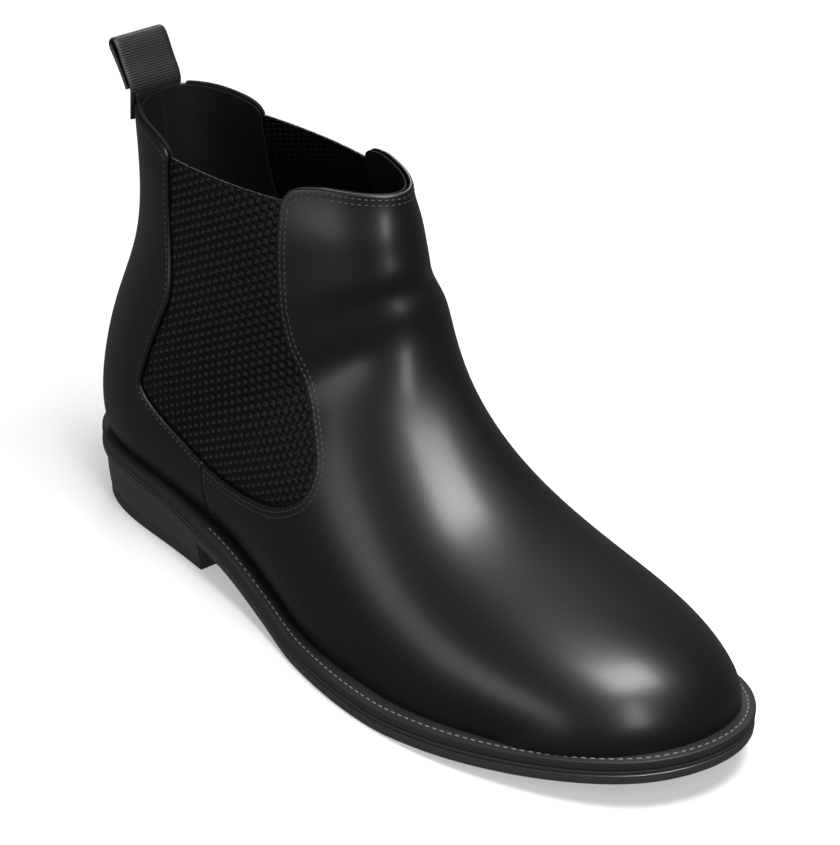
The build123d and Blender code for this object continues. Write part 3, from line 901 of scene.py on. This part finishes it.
# ---------------------------------------------------------------- collar, back strip and tab
TAB_HALF = 11.5
TAB_THICK = 1.1
TAB_LINE = [(-25.3, 157.5), (-27.6, 161.5), (-32.2, 167.8), (-34.6, 171.2), (-34.2, 173.4), (-32.0, 173.3),
            (-29.6, 170.2), (-26.8, 165.2), (-24.0, 160.8), (-22.7, 157.5)]


def piping():
    """The bead along the back topline, one each side of the tab."""
    for side, name in NAMES.items():
        line = even(unwrap(EDGES[side]["back_top"]), 0.8)
        p, _, _, n = frame_at(line[:, 0], line[:, 1])
        p = p - n * 1.5 + np.array((0, 0, 0.35))
        keep = np.abs(p[:, 1]) > TAB_HALF + 0.5
        piece = tube(f"collar_piping_{name}", p[keep], 0.75, "lining_leather")
        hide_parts(f"collar_piping_{name}")


def ribbed_strip(name, centre, out, half, thick, slot, body, across=(0, 1, 0), rib=0.1, rib_pitch=0.95):
    """Webbing along a centre line: fine ribs run across it and its long edges are round."""
    centre = np.asarray(centre, float)
    out = np.asarray(out, float)
    length = np.r_[0, np.cumsum(np.linalg.norm(np.diff(centre, axis=0), axis=1))]
    ribs = rib * np.cos(2 * np.pi * length / rib_pitch)
    places = np.r_[-1.0, -0.97, np.linspace(-0.9, 0.9, 15), 0.97, 1.0]
    drop = np.r_[0.5, 0.2, np.zeros(15), 0.2, 0.5]
    rings = []
    sideways = np.array(across) * half
    for k in range(len(centre)):
        rises = [thick / 2 + ribs[k] * (d == 0) - d * thick * 0.9 for d in drop]
        top = [centre[k] + sideways * a + out[k] * rise for a, rise in zip(places, rises)]
        low = [centre[k] + sideways * a - out[k] * rise for a, rise in zip(places[::-1], rises[::-1])]
        rings.append(np.array(top + low))
    return ring_mesh(name, rings, slot, body=body)


def tab():
    """The pull tab's loop and the part of its inner leg that shows."""
    line = curve_through(TAB_LINE, 0.24)
    tangent = np.gradient(line, axis=0)
    tangent /= np.linalg.norm(tangent, axis=1)[:, None]
    centre = np.c_[line[:, 0], np.zeros(len(line)), line[:, 1]]
    out = np.c_[-tangent[:, 1], np.zeros(len(line)), tangent[:, 0]]
    piece = ribbed_strip("pull_tab", centre, out, TAB_HALF, TAB_THICK, "webbing", "tab")
    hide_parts("pull_tab")
    x, z = TAB_LINE[-1]
    z_low = np.arange(z - 10.4, z + 0.2, 0.24)
    centre = np.c_[np.full(len(z_low), x), np.zeros(len(z_low)), z_low]
    backwards = np.tile((-1.0, 0, 0), (len(z_low), 1))
    leg = ribbed_strip("pull_tab_leg_inner", centre, backwards, TAB_HALF, TAB_THICK, "webbing", "boot")


def back_strip():
    """The raised strip over the back seam."""
    u = np.linspace(9.35, 14.09, 470)
    climb = np.clip((u - 13.45) / 0.45, 0, 1)
    half = 8.0 + 3.3 * climb**2 * (3 - 2 * climb)
    t = np.zeros_like(u)
    rows = np.linspace(-1, 1, 21)
    points = []
    for w in rows:
        want = -w * half
        t = np.full_like(u, w * 0.05)
        for _ in range(20):
            y = skin(u, t)[:, 1] - skin(u, np.zeros_like(u))[:, 1]
            slope = (skin(u, t + 1e-4)[:, 1] - skin(u, t)[:, 1]) / 1e-4
            t = np.clip(t - 0.8 * (y - want) / np.where(np.abs(slope) < 1, -1, slope), -0.2, 0.2)
        p, _, _, n = frame_at(u, t)
        edge = 1 - abs(w)**8
        length = np.r_[0, np.cumsum(np.linalg.norm(np.diff(p, axis=0), axis=1))]
        ribs = 0.05 * np.cos(2 * np.pi * length / 0.95) * (abs(w) < 0.9)
        points.append((p + n * (0.9 * edge + ribs)[:, None], p - n * 0.2))
    rings = [np.array([a[k] for a, _ in points] + [b[k] for _, b in reversed(points)]) for k in range(len(u))]
    piece = ring_mesh("back_strip", rings, "webbing")
    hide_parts("back_strip")


# ---------------------------------------------------------------- the sole


def sole():
    """Welt, midsole, outsole, heel and the insides of the sole."""
    top = FEATHER + WELT
    profile = [(LEDGE + 3.0, FEATHER), (0.5, FEATHER), (0.1, FEATHER + 0.35), (0.0, FEATHER + 0.9),
               (0.0, top - 0.7), (0.12, top - 0.25), (0.5, top), (LEDGE + 3.0, top)]
    welt = ring_mesh("welt", [sole_ring(a, b) for a, b in profile], "welt_leather", closed_profile=True)
    weld(welt)
    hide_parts("welt")
    edge = [(0.9, OUTSOLE), (0.35, OUTSOLE + 0.25), (0.2, OUTSOLE + 0.8), (0.35, FEATHER - 0.3), (0.9, FEATHER)]
    midsole = slab("midsole", edge, "sole_leather")
    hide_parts("midsole")
    edge = [(1.3, 0.0), (0.5, 0.3), (0.1, 1.0), (0.0, 2.2)]
    edge += [(0.1, OUTSOLE - 0.5), (0.6, OUTSOLE - 0.1), (1.2, OUTSOLE)]
    outsole = slab("outsole", edge, "sole_leather")
    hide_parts("outsole")
    total = HEEL_INSET + HEEL_TAPER
    lift = [(total + 0.8, 0.0), (total + 0.15, 0.6), (total - 0.2, TOP_LIFT - 0.4), (total + 0.1, TOP_LIFT)]

    def flat(height):
        return lambda x: np.full_like(x, height)

    top_lift = slab("heel_top_lift", lift, "sole_rubber", flat(0.0), flat(TOP_LIFT), heel_ring)
    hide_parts("heel_top_lift", "top_lift_brads")
    block = [(total - 0.1, TOP_LIFT), (total - 0.5, TOP_LIFT + 0.35)]
    block += [(HEEL_INSET + 0.8, 10.0), (HEEL_INSET, None)]
    heel = slab("heel_block", block, "heel_stack", flat(TOP_LIFT), sole_z, heel_ring)
    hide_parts("heel_block", "heel_nails")
    low = FEATHER + UPPER
    board = slab("insole_board", [(LEDGE + 3.4, low), (LEDGE + 3.4, low + 2.2)], "fibreboard")
    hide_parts("insole_board", "cork_filler", "shank")
    sock = slab("sock_liner", [(LEDGE + 3.2, low + 2.2), (LEDGE + 3.3, low + 3.2)], "lining_leather")
    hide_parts("sock_liner", "heel_pad")


def welt_stitches():
    """The row of stitches on the welt's ledge, from the waist round the toe."""
    length, radius, sink = WELT_STITCH
    line = resample(sole_ring(WELT_STITCH_INSET, FEATHER + WELT, 1400), WELT_STITCH_PITCH, True)
    keep = line[:, 0] > WELT_STITCH_BACK
    following = np.roll(line, -1, 0)
    both = keep & np.roll(keep, -1)
    middle = ((line + following) / 2)[both]
    direction = (following - line)[both]
    normal = np.tile((0, 0, 1.0), (len(middle), 1))
    capsule_rows("welt_stitches", middle - (0, 0, sink), direction, normal, length, radius, "welt_thread")


upper()
for side in (-1, 1):
    gore(side)
stitches()
piping()
back_strip()
tab()
sole()
welt_stitches()

# ---------------------------------------------------------------- stage
TARGET = np.array((100.80, 17.27, 67.26))
AZIMUTH = math.radians(45.96)
ELEVATION = math.radians(27.38)
ROLL = math.radians(2.41)
DISTANCE = 1269.7
LENS = 156.35


def camera():
    """A long lens above the outer front side, turned a little about its own axis."""
    back = np.array((math.sin(AZIMUTH) * math.cos(ELEVATION), -math.cos(AZIMUTH) * math.cos(ELEVATION),
                     math.sin(ELEVATION)))
    right = np.array((math.cos(AZIMUTH), math.sin(AZIMUTH), 0))
    up = np.cross(back, right)
    right2 = math.cos(ROLL) * right + math.sin(ROLL) * up
    up2 = -math.sin(ROLL) * right + math.cos(ROLL) * up
    data = bpy.data.cameras.new("camera")
    data.lens = LENS
    data.sensor_width = 36
    data.clip_end = 20
    eye = bpy.data.objects.new("camera", data)
    bpy.context.collection.objects.link(eye)
    place = (TARGET + back * DISTANCE) * MM
    rows = [[right2[k], up2[k], back[k], place[k]] for k in range(3)] + [[0, 0, 0, 1]]
    eye.matrix_world = Matrix([[float(v) for v in row] for row in rows])
    bpy.context.scene.camera = eye


def lamp(name, place, size, power, look=(0.10, 0.0, 0.06)):
    """A soft box that faces the boot."""
    data = bpy.data.lights.new(name, "AREA")
    data.shape = "RECTANGLE"
    data.size, data.size_y = size
    data.energy = power
    light = bpy.data.objects.new(name, data)
    bpy.context.collection.objects.link(light)
    light.location = place
    direction = Vector(look) - Vector(place)
    light.rotation_euler = direction.to_track_quat("-Z", "Y").to_euler()


def stage():
    """White floor and wall, dim sky and four soft boxes."""
    world = bpy.data.worlds.new("studio")
    world.use_nodes = True
    world.node_tree.nodes["Background"].inputs["Color"].default_value = (1, 1, 1, 1)
    world.node_tree.nodes["Background"].inputs["Strength"].default_value = 0.12
    bpy.context.scene.world = world
    bpy.ops.mesh.primitive_plane_add(size=12)
    floor = bpy.context.object
    floor.name = "floor"
    white = shader("white floor", (0.5, 0.5, 0.5), 0.9, specular=0.0)
    bsdf = white.node_tree.nodes["Principled BSDF"]
    bsdf.inputs["Emission Color"].default_value = (1, 1, 1, 1)
    bsdf.inputs["Emission Strength"].default_value = 0.4
    floor.data.materials.append(white)
    floor.visible_glossy = False
    bpy.ops.mesh.primitive_uv_sphere_add(radius=5.5, segments=48, ring_count=24)
    wall = bpy.context.object
    wall.name = "studio_wall"
    glow = shader("white wall", (0, 0, 0), 1.0, specular=0.0)
    glow.node_tree.nodes["Principled BSDF"].inputs["Emission Color"].default_value = (1, 1, 1, 1)
    glow.node_tree.nodes["Principled BSDF"].inputs["Emission Strength"].default_value = 1.0
    wall.data.materials.append(glow)
    wall.visible_glossy = False
    wall.visible_diffuse = False
    wall.visible_shadow = False
    lamp("top box", (0.52, -0.05, 1.25), (0.75, 0.5), 25)
    lamp("side box", (1.2, -0.5, 0.8), (0.3, 0.7), 7)
    lamp("back box", (-0.9, 0.9, 0.9), (0.5, 0.7), 7)
    lamp("outer side box", (-0.15, -1.5, 0.5), (1.2, 0.5), 6)
    bpy.context.scene.view_settings.view_transform = "Standard"


for name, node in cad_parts.items():
    if not node.data.materials:
        node.data.materials.append(MATERIALS["sole_leather"])
camera()
stage()
